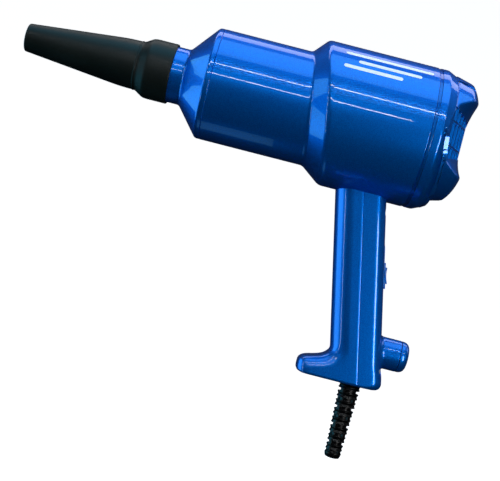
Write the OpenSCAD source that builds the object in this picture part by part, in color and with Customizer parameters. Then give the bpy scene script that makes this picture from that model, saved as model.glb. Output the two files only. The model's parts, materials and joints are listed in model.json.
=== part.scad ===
// Hand-held car dryer blower: rubber air nozzle, round barrel, motor housing, vented rear
// cover and a raked pistol grip with rocker switch, speed knob and cable boot.
// Frame: origin at the centre of the grip, nozzle towards -X, +Z up. Millimetres.

/* [Air path] */
// Height of the air axis over the centre of the grip
axis_h = 137; // [134:0.5:140]
// Outer radius of the motor housing
housing_r = 64; // [63.5:0.1:64.5]
// Outer radius of the barrel
barrel_r = 50.5; // [50:0.1:51]
// Wall of the moulded shells
wall = 2.6; // [2.4:0.1:2.8]
// Rear end of the motor housing
housing_rear_x = 22; // [21.5:0.1:22.5]
// Front end of the barrel
barrel_front_x = -169.6; // [-171:0.1:-168]

/* [Nozzle] */
// Plane of the air outlet
tip_x = -342; // [-350:1:-335]
// Outer radius at the outlet
tip_r = 12.6; // [12.2:0.1:14]
// Bore radius at the outlet
outlet_r = 10.4; // [9:0.1:10.8]
// Radius of the spigot that carries the nozzle
spigot_r = 25.3; // [25:0.1:25.4]
// Radial play between the spigot and the nozzle sleeve
spigot_play = 0.15; // [0.1:0.05:0.3]
// Bore radius of the nozzle neck
neck_bore_r = 19.5; // [18:0.1:19.8]

/* [Handle] */
// Backward rake of the handle
rake = 12.4; // [11.5:0.1:13]
// Depth of the grip, front to back
grip_depth = 45; // [44:0.5:46]
// Width of the grip
grip_width = 38; // [37:0.5:39]
// Parting plane between the front and back shells, behind the grip's middle
split_u = 1.4; // [1:0.1:2]
// Height of the foot face
foot_z = -92.9; // [-94:0.1:-92]
// Height of the speed control's axis
knob_z = -58.9; // [-59.5:0.1:-58.5]

/* [Switch] */
// Centre of the rocker switch along the handle
switch_z = 3.5; // [3:0.1:4]
// Depth of the rocker's pivot behind the grip's middle
pivot_u = 19; // [18.8:0.1:19.2]

/* [Cable boot] */
// Distance of the boot's axis behind the grip's middle
boot_x = 17.5; // [17:0.1:18]
// Length of the boot below the foot face
boot_len = 69.1; // [66:0.5:72]
// Number of ribs
boot_ribs = 8; // [6:1:9]
// Bore for the power cable
cable_r = 4.2; // [3.5:0.1:4.4]

/* [Motor] */
// Shaft radius
shaft_r = 4; // [3.9:0.05:4.1]
// Outer radius of the fan case
can_r = 53; // [52.8:0.1:53.2]
// Number of impeller blades
blade_count = 7; // [5:1:9]
// Number of armature slots
slot_count = 12; // [8:1:14]

/* [Hidden] */
$fn = 96;

paint = [0.02, 0.24, 0.72];
rubber = [0.12, 0.14, 0.14];
steel = [0.72, 0.73, 0.75];
copper = [0.75, 0.42, 0.22];
zinc = [0.62, 0.64, 0.66];

housing_in_r = housing_r - wall;
barrel_in_r = barrel_r - wall;
can_in_r = can_r - 1.2;
can_front_x = -24;
bearing_r = 11;
bolt_r = 2;
bolt_ring_r = 36;
screw_r = 1.5;
head_r = 3.2;
running_gap = 0.04;
half_width = grip_width / 2;
half_depth = grip_depth / 2;
front_curve = 16;          // depth of the grip's rounded front
back_corner = 9.5;         // radius of the grip's back corners
cover_rise = 3.5;          // the rear cover's centre over the air axis
cover_z = axis_h + cover_rise;
cover_screw_r = 57.2;      // ring that carries the cover screws
cover_screw_angles = [30, 150, 210, 330];
// handle screws: height, half spacing, depth of the tip
upper_screws = [60, 11, -15];
lower_screws = [-82, 12.5, -12.5];
screw_seat = 19.5;         // depth at which the handle screws' heads seat
stub_r = 14.2;             // speed control stub behind the foot
stub_end_x = 52.8;
boot_top_r = 10.2;
boot_tip_r = 7.6;
plate_t = 0.6;

// Power leads from the switch through the handle neck to the two brush holders.
lead_left = [
    [-0.5, -3.8, 8], [-4, -3.8, 22], [-8, -4, 40], [-13, -4, 58], [-19, -4, 73], [-29, -5, 80.5],
    [-42, -11, 83], [-56, -23, 89], [-70, -34, 101], [-82, -38.5, 116], [-90, -39, 130],
    [-90.5, -36, 137], [-90.5, -33.2, 137]
];
lead_right = [for (p = lead_left) [p[0], -p[1], p[2]]];
lead_r = 1.1;

// Turns a profile of [station along X, radius] about the air axis.
module revolve(points) translate([0, 0, axis_h]) rotate([0, 90, 0])
    rotate_extrude() polygon([for (p = points) [p[1], p[0]]]);

// A ring on the air axis between two stations.
module ring(x0, x1, outer, inner = 0) translate([x0, 0, axis_h]) rotate([0, 90, 0])
    difference() {
        cylinder(h = x1 - x0, r = outer);
        if (inner > 0) translate([0, 0, -1]) cylinder(h = x1 - x0 + 2, r = inner);
    }

// Puts a child drawn along Z onto the air axis, at a station, radius and angle about it.
module around(x, radius, angle) translate([x, 0, axis_h]) rotate([angle, 0, 0])
    translate([0, 0, radius]) rotate([0, 90, 0]) children();

// The handle's own frame: X across its depth, Z along it.
module in_handle() rotate([0, -rake, 0]) children();

// A round bar along the handle's depth, from u0 to u1.
module cross_bar(u0, u1, y, z, r) in_handle() translate([u0, y, z]) rotate([0, 90, 0])
    cylinder(h = u1 - u0, r = r, $fn = 48);

// A closed round tube along points, with rings square to the route.
module tube(points, r, sides = 8) {
    last = len(points) - 1;
    function heading(i) = let (d = points[min(i + 1, last)] - points[max(i - 1, 0)]) d / norm(d);
    function side_of(i) = let (s = cross(heading(i), [0.3, 1, 0.1])) s / norm(s);
    rings = [for (i = [0 : last], k = [0 : sides - 1])
        let (s = side_of(i), up = cross(heading(i), s), a = 360 * k / sides)
        points[i] + r * (cos(a) * s + sin(a) * up)];
    skin = [for (i = [0 : last - 1], k = [0 : sides - 1])
        let (n = (k + 1) % sides) [i * sides + k, i * sides + n, (i + 1) * sides + n, (i + 1) * sides + k]];
    caps = [[for (k = [0 : sides - 1]) sides - 1 - k], [for (k = [0 : sides - 1]) last * sides + k]];
    polyhedron(rings, concat(skin, caps));
}

// Air path and shells

module nozzle() color(rubber) revolve([
    [tip_x, outlet_r], [tip_x, tip_r - 0.8], [tip_x + 0.8, tip_r], [-251.4, 21.9], [-238, 22],
    [-228, 27.2], [-207.6, 27.2], [-206.8, 26.6], [-206.8, spigot_r + spigot_play],
    [-229, spigot_r + spigot_play], [-229, 21.6], [-238, neck_bore_r], [-251.4, neck_bore_r],
    [tip_x + 14, outlet_r]
]);

module front_cone() color(paint) difference() {
    revolve([
        [-228.5, spigot_r - 0.6], [-227.9, spigot_r], [-195.3, spigot_r], [-174.2, 50.4],
        [barrel_front_x - 0.4, 50.4], [barrel_front_x, 50], [barrel_front_x, barrel_in_r - 0.1],
        [-163, barrel_in_r - 0.1], [-163, 45.4], [-175, 45.4], [-194.1, spigot_r - wall],
        [-228.5, spigot_r - wall]
    ]);
    ring(-222.3, -219.7, 27, 23.75);
}

module spigot_o_ring() color(rubber) translate([-221, 0, axis_h]) rotate([0, 90, 0])
    rotate_extrude() translate([24.55, 0]) circle(r = 0.8, $fn = 32);

// A cone whose axis tips up to the rear, so that the shoulder is slanted.
module shoulder_cone(shift) translate([-137.8 + shift, 0, axis_h - 3.6])
    rotate([0, 83.85, 0]) cylinder(h = 180, r1 = 0, r2 = 180 * tan(42.25));

module housing_space() {
    ring(-175, -65, barrel_in_r);
    intersection() {
        shoulder_cone(3.87);
        ring(-100, housing_rear_x + 1, housing_in_r);
    }
}

module barrel_housing() color(paint) difference() {
    union() {
        ring(barrel_front_x, -70, barrel_r);
        intersection() {
            shoulder_cone(0);
            ring(-100, housing_rear_x, housing_r);
        }
        // hollow tang that the two handle shells close round
        in_handle() translate([-11.5, -14.5, 50]) cube([19.5, 29, 32]);
    }
    difference() {
        housing_space();
        for (a = cover_screw_angles) around(7, cover_screw_r, a) {
            cylinder(h = 20, r = 4);
            translate([-6, -4, 0]) cube([6, 8, 20]);
        }
    }
    in_handle() translate([-10, -5.5, 45]) cube([15, 11, 45]);
    for (a = cover_screw_angles) around(10, cover_screw_r, a) cylinder(h = 20, r = screw_r);
    for (side = [-1, 1])
        cross_bar(-20, 12, side * upper_screws[1], upper_screws[0], screw_r);
}

module rear_seal() color(rubber) ring(housing_rear_x, housing_rear_x + 3, housing_r - 0.3, 61.2);

// Outline of the rear cover, drawn in by t from its outer skin: a banded rim, a dome set
// a little high, and a hollow across its back.
module rear_form(t) difference() {
    union() {
        if (t == 0) revolve([[25, 0], [25, housing_r], [31.2, housing_r], [39.3, 60.3], [39.3, 0]]);
        else ring(28.9, 39.3 - t, 60.3 - t - 1.6);
        translate([0, 0, cover_rise]) revolve(concat(
            [[25, 0], [25, 58.9 - t], [30, 58.6 - t], [40.7, 57.4 - t]],
            [for (a = [46 : 5.5 : 90]) [34.1 + (29.7 - t) * sin(a), 33 + (29.7 - t) * cos(a)]],
            [[63.8 - t, 0]]
        ));
    }
    difference() {
        translate([30, -80, cover_z - 42]) cube([60, 160, 84]);
        // the floor of the hollow bows out to the rear
        translate([-27, 0, cover_z]) rotate_extrude() polygon([
            [0, -43], [101 - t, -43], [91 - t, -33], [88 - t, -22.5], [87 - t, -14],
            [87 - t, 14], [88 - t, 22.5], [91 - t, 33], [101 - t, 43], [0, 43]
        ]);
    }
    // flat flanks of the hollow
    for (side = [0, 1]) mirror([0, side, 0])
        translate([-t * sqrt(5) / 2, 0, cover_z - 33 - t]) linear_extrude(66 + 2 * t)
            polygon([[37.5, 60], [53.5, 28], [90, 28 - 16], [90, 90], [37.5, 90]]);
}

module rear_cover() color(paint) difference() {
    union() {
        rear_form(0);
        ring(housing_rear_x, 25, 61.2);
    }
    difference() {
        rear_form(wall);
        for (a = cover_screw_angles) around(20, cover_screw_r, a) cylinder(h = 60, r = 5);
    }
    ring(20, 29, 58.4);
    // intake slots, taller towards the sides, with two level ribs left between three rows
    for (i = [-6 : 6]) let (reach = 14 + 8 * abs(i) / 6)
        for (row = [[-reach, -8.5], [-6.5, 6.5], [8.5, reach]])
            translate([30, i * 8.6 - 3.3, cover_z + row[0]]) cube([60, 6.6, row[1] - row[0]]);
    for (a = cover_screw_angles) {
        around(20, cover_screw_r, a) cylinder(h = 60, r = screw_r);
        around(36.5, cover_screw_r, a) cylinder(h = 40, r = head_r + 0.2);
    }
}

// A screw along Z: shank from 0 to the head's seat, then a pan head with a cross recess.
module screw(shank_len, head = head_r, head_h = 2.2, shank = screw_r) difference() {
    union() {
        cylinder(h = shank_len, r = shank, $fn = 48);
        translate([0, 0, shank_len]) cylinder(h = head_h, r = head, $fn = 48);
    }
    for (turn = [0, 90]) rotate([0, 0, turn])
        translate([-head * 0.6, -0.4, shank_len + head_h - 1]) cube([head * 1.2, 0.8, 2]);
}

module cover_screws() color(zinc)
    for (a = cover_screw_angles) around(11, cover_screw_r, a) screw(25.5);

// Notches that let the cover screws past the filter and its retainer.
module screw_notches() for (a = cover_screw_angles) around(20, cover_screw_r, a) cylinder(h = 12, r = 2);

module inlet_filter() color([0.2, 0.2, 0.21]) difference() {
    ring(24, 29, 58.4);
    screw_notches();
}

module filter_retainer() color(rubber) {
    difference() {
        ring(22, 24, 58.4, 54);
        screw_notches();
    }
    ring(22, 24, 12, 8);
    for (a = [45 : 90 : 315]) around(22, 11.5, a) translate([-43.5, -1.5, 0]) cube([43.5, 3, 2]);
}

module foam_liner() color([0.3, 0.3, 0.32]) ring(-162.5, -112, barrel_in_r, 39);

// Handle

// Section of the grip drawn in by t: a half ellipse in front, rounded corners behind.
function grip_outline(t) = concat(
    [for (a = [90 : 7.5 : 270])
        [front_curve - half_depth + (front_curve - t) * cos(a), (half_width - t) * sin(a)]],
    [for (a = [-90 : 15 : 0]) [half_depth - back_corner + (back_corner - t) * cos(a),
        -half_width + back_corner + (back_corner - t) * sin(a)]],
    [for (a = [0 : 15 : 90]) [half_depth - back_corner + (back_corner - t) * cos(a),
        half_width - back_corner + (back_corner - t) * sin(a)]]
);

module grip_bar(t) in_handle() translate([0, 0, -110]) linear_extrude(220) polygon(grip_outline(t));

// Side view of the toe that guards the hand, blended into the front of the grip.
toe_outline = [
    [25, foot_z], [-30.5, foot_z], [-33, foot_z + 1.4], [-34.2, foot_z + 4], [-34.5, foot_z + 7],
    [-34.2, foot_z + 10.6], [-33, foot_z + 12.6], [-31.1, foot_z + 14.2], [-27, foot_z + 15.8],
    [-20.7, foot_z + 17.3], [-15.5, foot_z + 19], [-12, foot_z + 21], [-10, foot_z + 24],
    [-6, foot_z + 26], [25, foot_z + 26]
];
toe_half = half_width - 0.2;
toe_corner = 12;

module toe() intersection() {
    rotate([90, 0, 0]) translate([0, 0, -half_width]) linear_extrude(grip_width) polygon(toe_outline);
    translate([0, 0, foot_z - 1]) linear_extrude(60) polygon(concat(
        [for (a = [90 : 10 : 270]) let (side = a <= 180 ? 1 : -1)
            [toe_corner - 34.5 + toe_corner * cos(a),
             side * (toe_half - toe_corner) + toe_corner * sin(a)]],
        [[25, -toe_half], [25, toe_half]]
    ));
}

module stub(r, x1) translate([10, 0, knob_z]) rotate([0, 90, 0]) cylinder(h = x1 - 10, r = r);

// Back of the foot, flared a little and blended into the stub.
module heel() rotate([90, 0, 0]) translate([0, 0, -half_width + 9])
    linear_extrude(grip_width - 18) polygon([
        [25, foot_z], [44.3, foot_z], [44.3, foot_z + 3.4], [43.6, foot_z + 9], [42.6, foot_z + 14.2],
        [43.2, foot_z + 17.5], [45, foot_z + 20.3], [45, knob_z], [25, knob_z]
    ]);

module handle_outer() difference() {
    union() {
        grip_bar(0);
        toe();
        heel();
        stub(stub_r, stub_end_x);
    }
    ring(-150, 100, housing_r);
    translate([-100, -50, 100]) cube([200, 100, 60]);
    translate([-100, -50, foot_z - 60]) cube([200, 100, 60]);
}

module handle_inner() {
    difference() {
        union() {
            grip_bar(wall);
            translate([-29, -half_width + 6, foot_z + wall]) cube([40, grip_width - 12, 9]);
        }
        translate([-100, -50, foot_z - 60]) cube([200, 100, 60 + wall]);
    }
    stub(stub_r - wall, stub_end_x - 2.5);
}

module boot_hole() translate([boot_x, 0, foot_z - 1]) cylinder(h = 6, r = 7.2);

module behind_split() in_handle() translate([split_u, -60, -150]) cube([120, 120, 300]);

// Bosses for the handle screws between two depths.
module handle_bosses(upper, lower) for (side = [-1, 1]) {
    cross_bar(upper[0], upper[1], side * upper_screws[1], upper_screws[0], 4);
    cross_bar(lower[0], lower[1], side * lower_screws[1], lower_screws[0], 4.6);
}

module handle_screw_holes(u1, r) for (side = [-1, 1], at = [upper_screws, lower_screws])
    cross_bar(at[2], u1, side * at[1], at[0], r);

module handle_front_shell() color(paint) difference() {
    union() {
        difference() {
            handle_outer();
            handle_inner();
        }
        handle_bosses([-16, -11.5], [-13.2, 5]);
        // rails that carry the control board, and posts for the cable clamp
        for (side = [-1, 1]) {
            in_handle() translate([-17.5, side * 11 - 1, -62]) cube([8.5, 2, 74]);
            translate([-9, side * 8, -71]) rotate([0, 90, 0]) cylinder(h = 17, r = 3);
        }
    }
    behind_split();
    boot_hole();
    handle_screw_holes(10, screw_r);
    for (side = [-1, 1]) translate([-4, side * 8, -71]) rotate([0, 90, 0])
        cylinder(h = 30, r = 1.25, $fn = 48);
}

module handle_back_shell() color(paint) difference() {
    intersection() {
        union() {
            difference() {
                handle_outer();
                handle_inner();
            }
            handle_bosses([8, 21], [0, 21]);
        }
        behind_split();
    }
    boot_hole();
    handle_screw_holes(30, screw_r);
    for (side = [-1, 1], at = [upper_screws, lower_screws])
        cross_bar(screw_seat, 40, side * at[1], at[0], head_r + 0.2);
    // switch opening, plate screw and the thumb scoop above them
    in_handle() translate([15, -7.3, switch_z - 10.3]) cube([20, 14.6, 20.6]);
    cross_bar(15, 30, 0, 26, 1.1);
    in_handle() translate([half_depth - 1, -6, 32]) cube([5, 12, 10.6]);
    translate([40, 0, knob_z]) rotate([0, 90, 0]) cylinder(h = 20, r = 4.6, $fn = 48);
}

module handle_screws() color(zinc) in_handle() for (side = [-1, 1], at = [upper_screws, lower_screws])
    translate([at[2], side * at[1], at[0]]) rotate([0, 90, 0]) screw(screw_seat - at[2], head_h = 2);

// Switch

module switch_plate() color([0.05, 0.2, 0.55]) difference() {
    in_handle() translate([half_depth, -9, -8]) cube([plate_t, 18, 39]);
    in_handle() translate([15, -7.3, switch_z - 10.3]) cube([20, 14.6, 20.6]);
    cross_bar(15, 30, 0, 26, 1.1);
}

module plate_screw() color(zinc) in_handle() translate([17.1, 0, 26]) rotate([0, 90, 0])
    screw(6, 2.2, 1, 1.1);

module switch_body() color([0.05, 0.2, 0.55]) difference() {
    in_handle() union() {
        translate([5, -7.2, switch_z - 10.2]) cube([18.5, 14.4, 20.4]);
        translate([half_depth + plate_t, -8.5, switch_z - 11.75]) cube([1.2, 17, 23.5]);
    }
    in_handle() translate([12, -6.2, switch_z - 9.1]) cube([20, 12.4, 18.2]);
    in_handle() translate([pivot_u, 10, switch_z]) rotate([90, 0, 0])
        cylinder(h = 20, r = 1.6 + running_gap, $fn = 48);
}

module switch_terminals() color([0.8, 0.68, 0.35]) in_handle() for (z = [-6, 0, 6])
    translate([-1, -2.4, switch_z + z - 0.4]) cube([6, 4.8, 0.8]);

module rocker() color([0.04, 0.18, 0.5]) in_handle() translate([pivot_u, 0, switch_z]) {
    rotate([90, 0, 0]) translate([0, 0, -5.9]) linear_extrude(11.8) polygon([
        [-2, -6.5], [3.5, -7.2], [7.2, -7.6], [7.5, -6.9], [7.1, -5.4], [6.4, -2.6], [6.2, 0],
        [6.4, 2.6], [7.1, 5.4], [7.5, 6.9], [7.2, 7.6], [3.5, 7.2], [-2, 6.5]
    ]);
    rotate([90, 0, 0]) cylinder(h = 14, r = 1.6, center = true, $fn = 48);
}

// Speed control

module knob_bar(x0, x1, r) translate([x0, 0, knob_z]) rotate([0, 90, 0]) cylinder(h = x1 - x0, r = r);

module potentiometer() color([0.3, 0.32, 0.34]) difference() {
    union() {
        knob_bar(40, 50.3, 8.8);
        knob_bar(50, 54.5, 4.4);
        for (y = [-4, 0, 4]) translate([42, y - 0.6, knob_z - 11]) cube([0.8, 1.2, 5]);
    }
    knob_bar(43.5, 60, 3 + running_gap);
}

module pot_nut() color(zinc) difference() {
    translate([stub_end_x, 0, knob_z]) rotate([0, 90, 0]) cylinder(h = 1.6, r = 6.2, $fn = 6);
    knob_bar(50, 60, 4.4);
}

module pot_shaft() color(steel) knob_bar(44, 58, 3);

module speed_knob() color(paint) difference() {
    translate([0, 0, knob_z]) rotate([0, 90, 0]) rotate_extrude() polygon(concat(
        [[0, 53.1], [stub_r, 53.1]],
        [for (a = [0 : 10 : 90]) [stub_r - 6.5 + 6.5 * cos(a), 54.5 + 6.5 * sin(a)]],
        [[0, 61]]
    ));
    knob_bar(50, 55.5, 8);
    knob_bar(50, 58, 3);
}

// Cable entry

function boot_radius(drop) = boot_top_r + (boot_tip_r - boot_top_r) * drop / boot_len;

module cable_boot() color([0.05, 0.05, 0.06]) translate([boot_x, 0, foot_z]) difference() {
    pitch = (boot_len - 5) / boot_ribs;
    rotate_extrude() polygon(concat(
        [[0, 4.6], [10, 4.6], [10, wall], [7.2, wall], [7.2, 0]],
        [for (i = [0 : boot_ribs - 1], corner = [[0, 0], [0, 1], [1, 1], [1, 0]])
            let (drop = 0.6 + i * pitch + corner[0] * 4.9, reach = boot_radius(drop))
            [reach - (1 - corner[1]) * 2.6, -drop]],
        [for (a = [0 : 15 : 90]) [cable_r + 0.6 + 2.6 * cos(a), -boot_len + 3.6 - 3.6 * sin(a)]],
        [[0, -boot_len]]
    ));
    translate([0, 0, -boot_len - 1]) cylinder(h = boot_len + 8, r = cable_r);
}

module cable_clamp() color([0.1, 0.1, 0.11]) difference() {
    translate([8, -11, -74]) cube([7.5, 22, 6]);
    translate([boot_x, 0, -80]) cylinder(h = 20, r = cable_r);
    for (side = [-1, 1]) translate([0, side * 8, -71]) rotate([0, 90, 0])
        cylinder(h = 30, r = 1.25, $fn = 48);
}

module clamp_screws() color(zinc) for (side = [-1, 1])
    translate([-3.5, side * 8, -71]) rotate([0, 90, 0]) screw(19, 2.4, 1.6, 1.25);

module terminal_block() color([0.85, 0.85, 0.8]) in_handle() difference() {
    translate([-9, -12, -62]) cube([9, 24, 10]);
    for (y = [-8, 0, 8]) translate([-5, y, -57]) rotate([0, 90, 0]) cylinder(h = 10, r = 2.2, $fn = 48);
}

module control_board() color([0.1, 0.35, 0.18]) in_handle() translate([-9, -13, -50]) cube([1.6, 26, 60]);

module capacitor() color([0.75, 0.6, 0.2]) cross_bar(-7.4, 4.6, -5, -22, 5);

module heat_sink() color(steel) in_handle() translate([-7.4, -10, -46]) difference() {
    cube([8, 20, 10]);
    for (i = [0 : 3]) translate([1.5, 2 + i * 4.6, -1]) cube([8, 2.2, 12]);
}

module motor_leads() color([0.1, 0.1, 0.1]) {
    tube(lead_left, lead_r);
    tube(lead_right, lead_r);
}

// Motor

module motor_mount_front() color(rubber) {
    ring(-101, -93, 41.2, 39.2);
    ring(-101, -93, barrel_in_r, 45.6);
    for (a = [30 : 60 : 330]) around(-100, 40.4, a) translate([-6, -2.5, 0]) cube([6, 5, 6]);
}

module motor_mount_rear() color(rubber) difference() {
    ring(-8, 4, housing_in_r, can_r);
    for (a = [15 : 30 : 345]) around(-9, 57.2, a) cylinder(h = 14, r = 1.8, $fn = 48);
}

module bolt_holes(x0, x1) for (a = [0, 180]) around(x0, bolt_ring_r, a) cylinder(h = x1 - x0, r = bolt_r);

// Two legs of an end bracket, above and below the motor.
module legs(x0, x1) intersection() {
    ring(x0, x1, 39.2, 32.8);
    translate([x0 - 1, -7, axis_h - 60]) cube([x1 - x0 + 2, 14, 120]);
}

module bracket_vents(x0, radius, count, size) for (i = [0 : count - 1])
    around(x0, radius, (i + 0.5) * 360 / count) cylinder(h = 12, r = size);

module motor_bracket_front() color(steel) difference() {
    union() {
        ring(-98.5, -95.5, 39.2);
        ring(-107, -98.5, 15);
        legs(-95.5, -75);
    }
    ring(-106, -90, bearing_r);
    ring(-110, -90, 8.5);
    bracket_vents(-100, 26, 8, 5.5);
    bolt_holes(-110, -60);
}

module motor_bracket_rear() color(steel) difference() {
    union() {
        ring(can_front_x, -20, can_in_r);
        ring(-27, -18, 15);
        legs(-38, can_front_x);
    }
    ring(-25, -17, bearing_r);
    ring(-30, -17, 8.5);
    bracket_vents(-26, 43, 12, 5.5);
    bolt_holes(-45, -19);
}

module motor_bolts() color(zinc) for (a = [0, 180]) around(-101, bolt_ring_r, a) {
    cylinder(h = 81, r = bolt_r);
    cylinder(h = 2.5, r = 3.6, $fn = 6);
}

// Ball bearing with shields set in from both faces.
module bearing(x0) color(steel) revolve([
    [x0, shaft_r + running_gap], [x0, 5.8], [x0 + 0.5, 5.8], [x0 + 0.5, 9.4], [x0, 9.4], [x0, bearing_r],
    [x0 + 7, bearing_r], [x0 + 7, 9.4], [x0 + 6.5, 9.4], [x0 + 6.5, 5.8], [x0 + 7, 5.8],
    [x0 + 7, shaft_r + running_gap]
]);

module bearing_front() bearing(-106);
module bearing_rear() bearing(-25);

module stator_core() color([0.35, 0.36, 0.38]) difference() {
    ring(-75, -38, 40, 22.5);
    bolt_holes(-80, -30);
    for (a = [45 : 90 : 315]) around(-80, 41.5, a) cylinder(h = 50, r = 6);
}

module stator_windings() color(copper) {
    for (x = [-83, -38]) ring(x, x + 8, 32.4, 24);
}

module brush_holders() color([0.7, 0.6, 0.3]) for (side = [0, 1]) mirror([0, side, 0]) difference() {
    translate([-95.5, 13, axis_h - 5]) cube([10, 20, 10]);
    translate([-93.7, 12, axis_h - 3]) cube([6.4, 20, 6]);
}

module carbon_brushes() color([0.15, 0.15, 0.16]) for (side = [0, 1]) mirror([0, side, 0]) difference() {
    translate([-93.7, 11.5, axis_h - 3]) cube([6.4, 13.5, 6]);
    ring(-97, -84, 12.06);
}

module motor_shaft() color(steel) revolve([
    [-107.5, 0], [-107.5, shaft_r - 0.5], [-107, shaft_r], [17.5, shaft_r], [18, shaft_r - 0.5], [18, 0]
]);

module armature_core() color([0.4, 0.41, 0.43]) difference() {
    ring(-74, -39, 22, shaft_r);
    for (i = [0 : slot_count - 1]) around(-80, 18.5, i * 360 / slot_count) {
        cylinder(h = 50, r = 2.6, $fn = 48);
        translate([-5, -0.8, 0]) cube([5, 1.6, 50]);
    }
}

module armature_windings() color(copper) {
    ring(-82, -74, 19, 8);
    ring(-39, -31, 19, 8);
}

module commutator() color(copper) difference() {
    ring(-95, -84, 12, shaft_r);
    for (i = [0 : 23]) around(-96, 12, i * 15) translate([-1, -0.25, 0]) cube([2, 0.5, 10]);
}

// Fan

module fan_case() color(steel) difference() {
    ring(can_front_x, 17, can_r);
    ring(can_front_x - 1, 15.8, can_in_r);
    ring(15, 18, 19);
}

// Plan of one curved blade from the eye to the rim.
function blade_plan(r0, r1, sweep, t) = concat(
    [for (s = [0 : 0.125 : 1]) let (r = r0 + (r1 - r0) * s, a = sweep * s) [r * cos(a), r * sin(a)]],
    [for (s = [1 : -0.125 : 0]) let (r = r0 + (r1 - r0) * s, a = sweep * s + t / r * 57.3)
        [r * cos(a), r * sin(a)]]
);

module blades(x0, h, r0, r1, sweep, count) translate([x0, 0, axis_h]) rotate([0, 90, 0])
    for (i = [0 : count - 1]) rotate([0, 0, i * 360 / count])
        linear_extrude(h) polygon(blade_plan(r0, r1, sweep, 1));

module impeller(x0) {
    ring(x0, x0 + 1.2, 45, shaft_r);
    ring(x0 + 1, x0 + 4.5, 9, shaft_r);
    blades(x0 + 1.1, 8.8, 17, 44.5, -65, blade_count);
    ring(x0 + 8.8, x0 + 10, 45, 18);
}

module impeller_front() color(zinc) impeller(-16);
module impeller_rear() color(zinc) impeller(5);

module impeller_spacer() color(steel) ring(-11.5, 5, 7, shaft_r);

module shaft_nut() color(zinc) difference() {
    translate([9.5, 0, axis_h]) rotate([0, 90, 0]) cylinder(h = 5, r = 6.8, $fn = 6);
    ring(0, 20, shaft_r);
}

module diffuser() color([0.55, 0.56, 0.58]) {
    ring(2.3, 3.5, 47, 9);
    blades(-3.2, 5.6, 20, 46.5, 55, 9);
    ring(-4.2, -3, can_in_r, 18);
}

nozzle();
front_cone();
spigot_o_ring();
barrel_housing();
rear_seal();
rear_cover();
cover_screws();
inlet_filter();
filter_retainer();
foam_liner();
handle_front_shell();
handle_back_shell();
handle_screws();
switch_plate();
plate_screw();
switch_body();
switch_terminals();
rocker();
potentiometer();
pot_nut();
pot_shaft();
speed_knob();
cable_boot();
cable_clamp();
clamp_screws();
terminal_block();
control_board();
capacitor();
heat_sink();
motor_leads();
motor_mount_front();
motor_mount_rear();
motor_bracket_front();
motor_bracket_rear();
motor_bolts();
bearing_front();
bearing_rear();
stator_core();
stator_windings();
brush_holders();
carbon_brushes();
motor_shaft();
armature_core();
armature_windings();
commutator();
fan_case();
diffuser();
impeller_front();
impeller_rear();
impeller_spacer();
shaft_nut();
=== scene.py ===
import json
import math

import bmesh
import bpy
from mathutils import Matrix, Vector


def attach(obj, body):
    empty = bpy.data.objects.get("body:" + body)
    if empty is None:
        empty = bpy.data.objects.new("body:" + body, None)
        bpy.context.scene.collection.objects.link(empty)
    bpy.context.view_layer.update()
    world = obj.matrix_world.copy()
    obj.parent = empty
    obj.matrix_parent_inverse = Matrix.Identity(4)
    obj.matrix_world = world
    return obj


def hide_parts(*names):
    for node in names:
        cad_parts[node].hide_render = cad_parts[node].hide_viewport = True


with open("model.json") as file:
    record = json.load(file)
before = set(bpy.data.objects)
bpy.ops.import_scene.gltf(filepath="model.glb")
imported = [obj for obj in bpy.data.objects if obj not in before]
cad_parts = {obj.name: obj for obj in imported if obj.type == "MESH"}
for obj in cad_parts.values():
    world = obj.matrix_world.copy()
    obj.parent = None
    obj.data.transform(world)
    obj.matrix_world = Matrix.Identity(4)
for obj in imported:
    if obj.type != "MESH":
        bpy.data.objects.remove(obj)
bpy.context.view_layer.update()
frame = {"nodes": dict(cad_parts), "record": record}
mm = 0.001
scene = bpy.context.scene
print("frame loaded:", len(frame["nodes"]), "nodes")

# The tool's own frame: the air axis runs along X at this height, the handle leans back.
tool = {
    "axisHeight": 137 * mm,
    "rake": math.radians(12.4),
    "footHeight": -92.9 * mm,
    "knobHeight": -58.9 * mm,
    "wall": 2.6 * mm,
    "cablePlace": 17.5 * mm,
    "switchHeight": 3.5 * mm,
    "screwWell": 3.4 * mm,
}


# Shader helpers: an input's name has _ for each space

def setInputs(node, **values):
    for label, value in values.items():
        node.inputs[label.replace("_", " ")].default_value = value


def addNode(tree, kind, operation=None, **values):
    node = tree.nodes.new("ShaderNode" + kind)
    if operation:
        node.operation = operation
    setInputs(node, **values)
    return node


def mixColour(tree, factor, first, second):
    # colours may be fixed values or sockets; a colour mix has them at inputs 6 and 7, its result at output 2
    node = addNode(tree, "Mix")
    node.data_type = "RGBA"
    tree.links.new(factor, node.inputs[0])
    for value, slot in ((first, 6), (second, 7)):
        if isinstance(value, tuple):
            node.inputs[slot].default_value = (*value, 1)
        else:
            tree.links.new(value, node.inputs[slot])
    return node.outputs[2]


def mapValue(tree, value, low, high, fromLow=0.0, fromHigh=1.0):
    node = addNode(tree, "MapRange", From_Min=fromLow, From_Max=fromHigh, To_Min=low, To_Max=high)
    tree.links.new(value, node.inputs["Value"])
    return node.outputs["Result"]


def multiply(tree, first, second, clamp=False):
    node = addNode(tree, "Math", "MULTIPLY")
    node.use_clamp = clamp
    tree.links.new(first, node.inputs[0])
    tree.links.new(second, node.inputs[1])
    return node.outputs[0]


def bumpFrom(tree, shader, height, strength, distance):
    bump = addNode(tree, "Bump", Strength=strength, Distance=distance)
    tree.links.new(height, bump.inputs["Height"])
    tree.links.new(bump.outputs["Normal"], shader.inputs["Normal"])


# Studio: camera, pale floor and wall, soft lights

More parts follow.
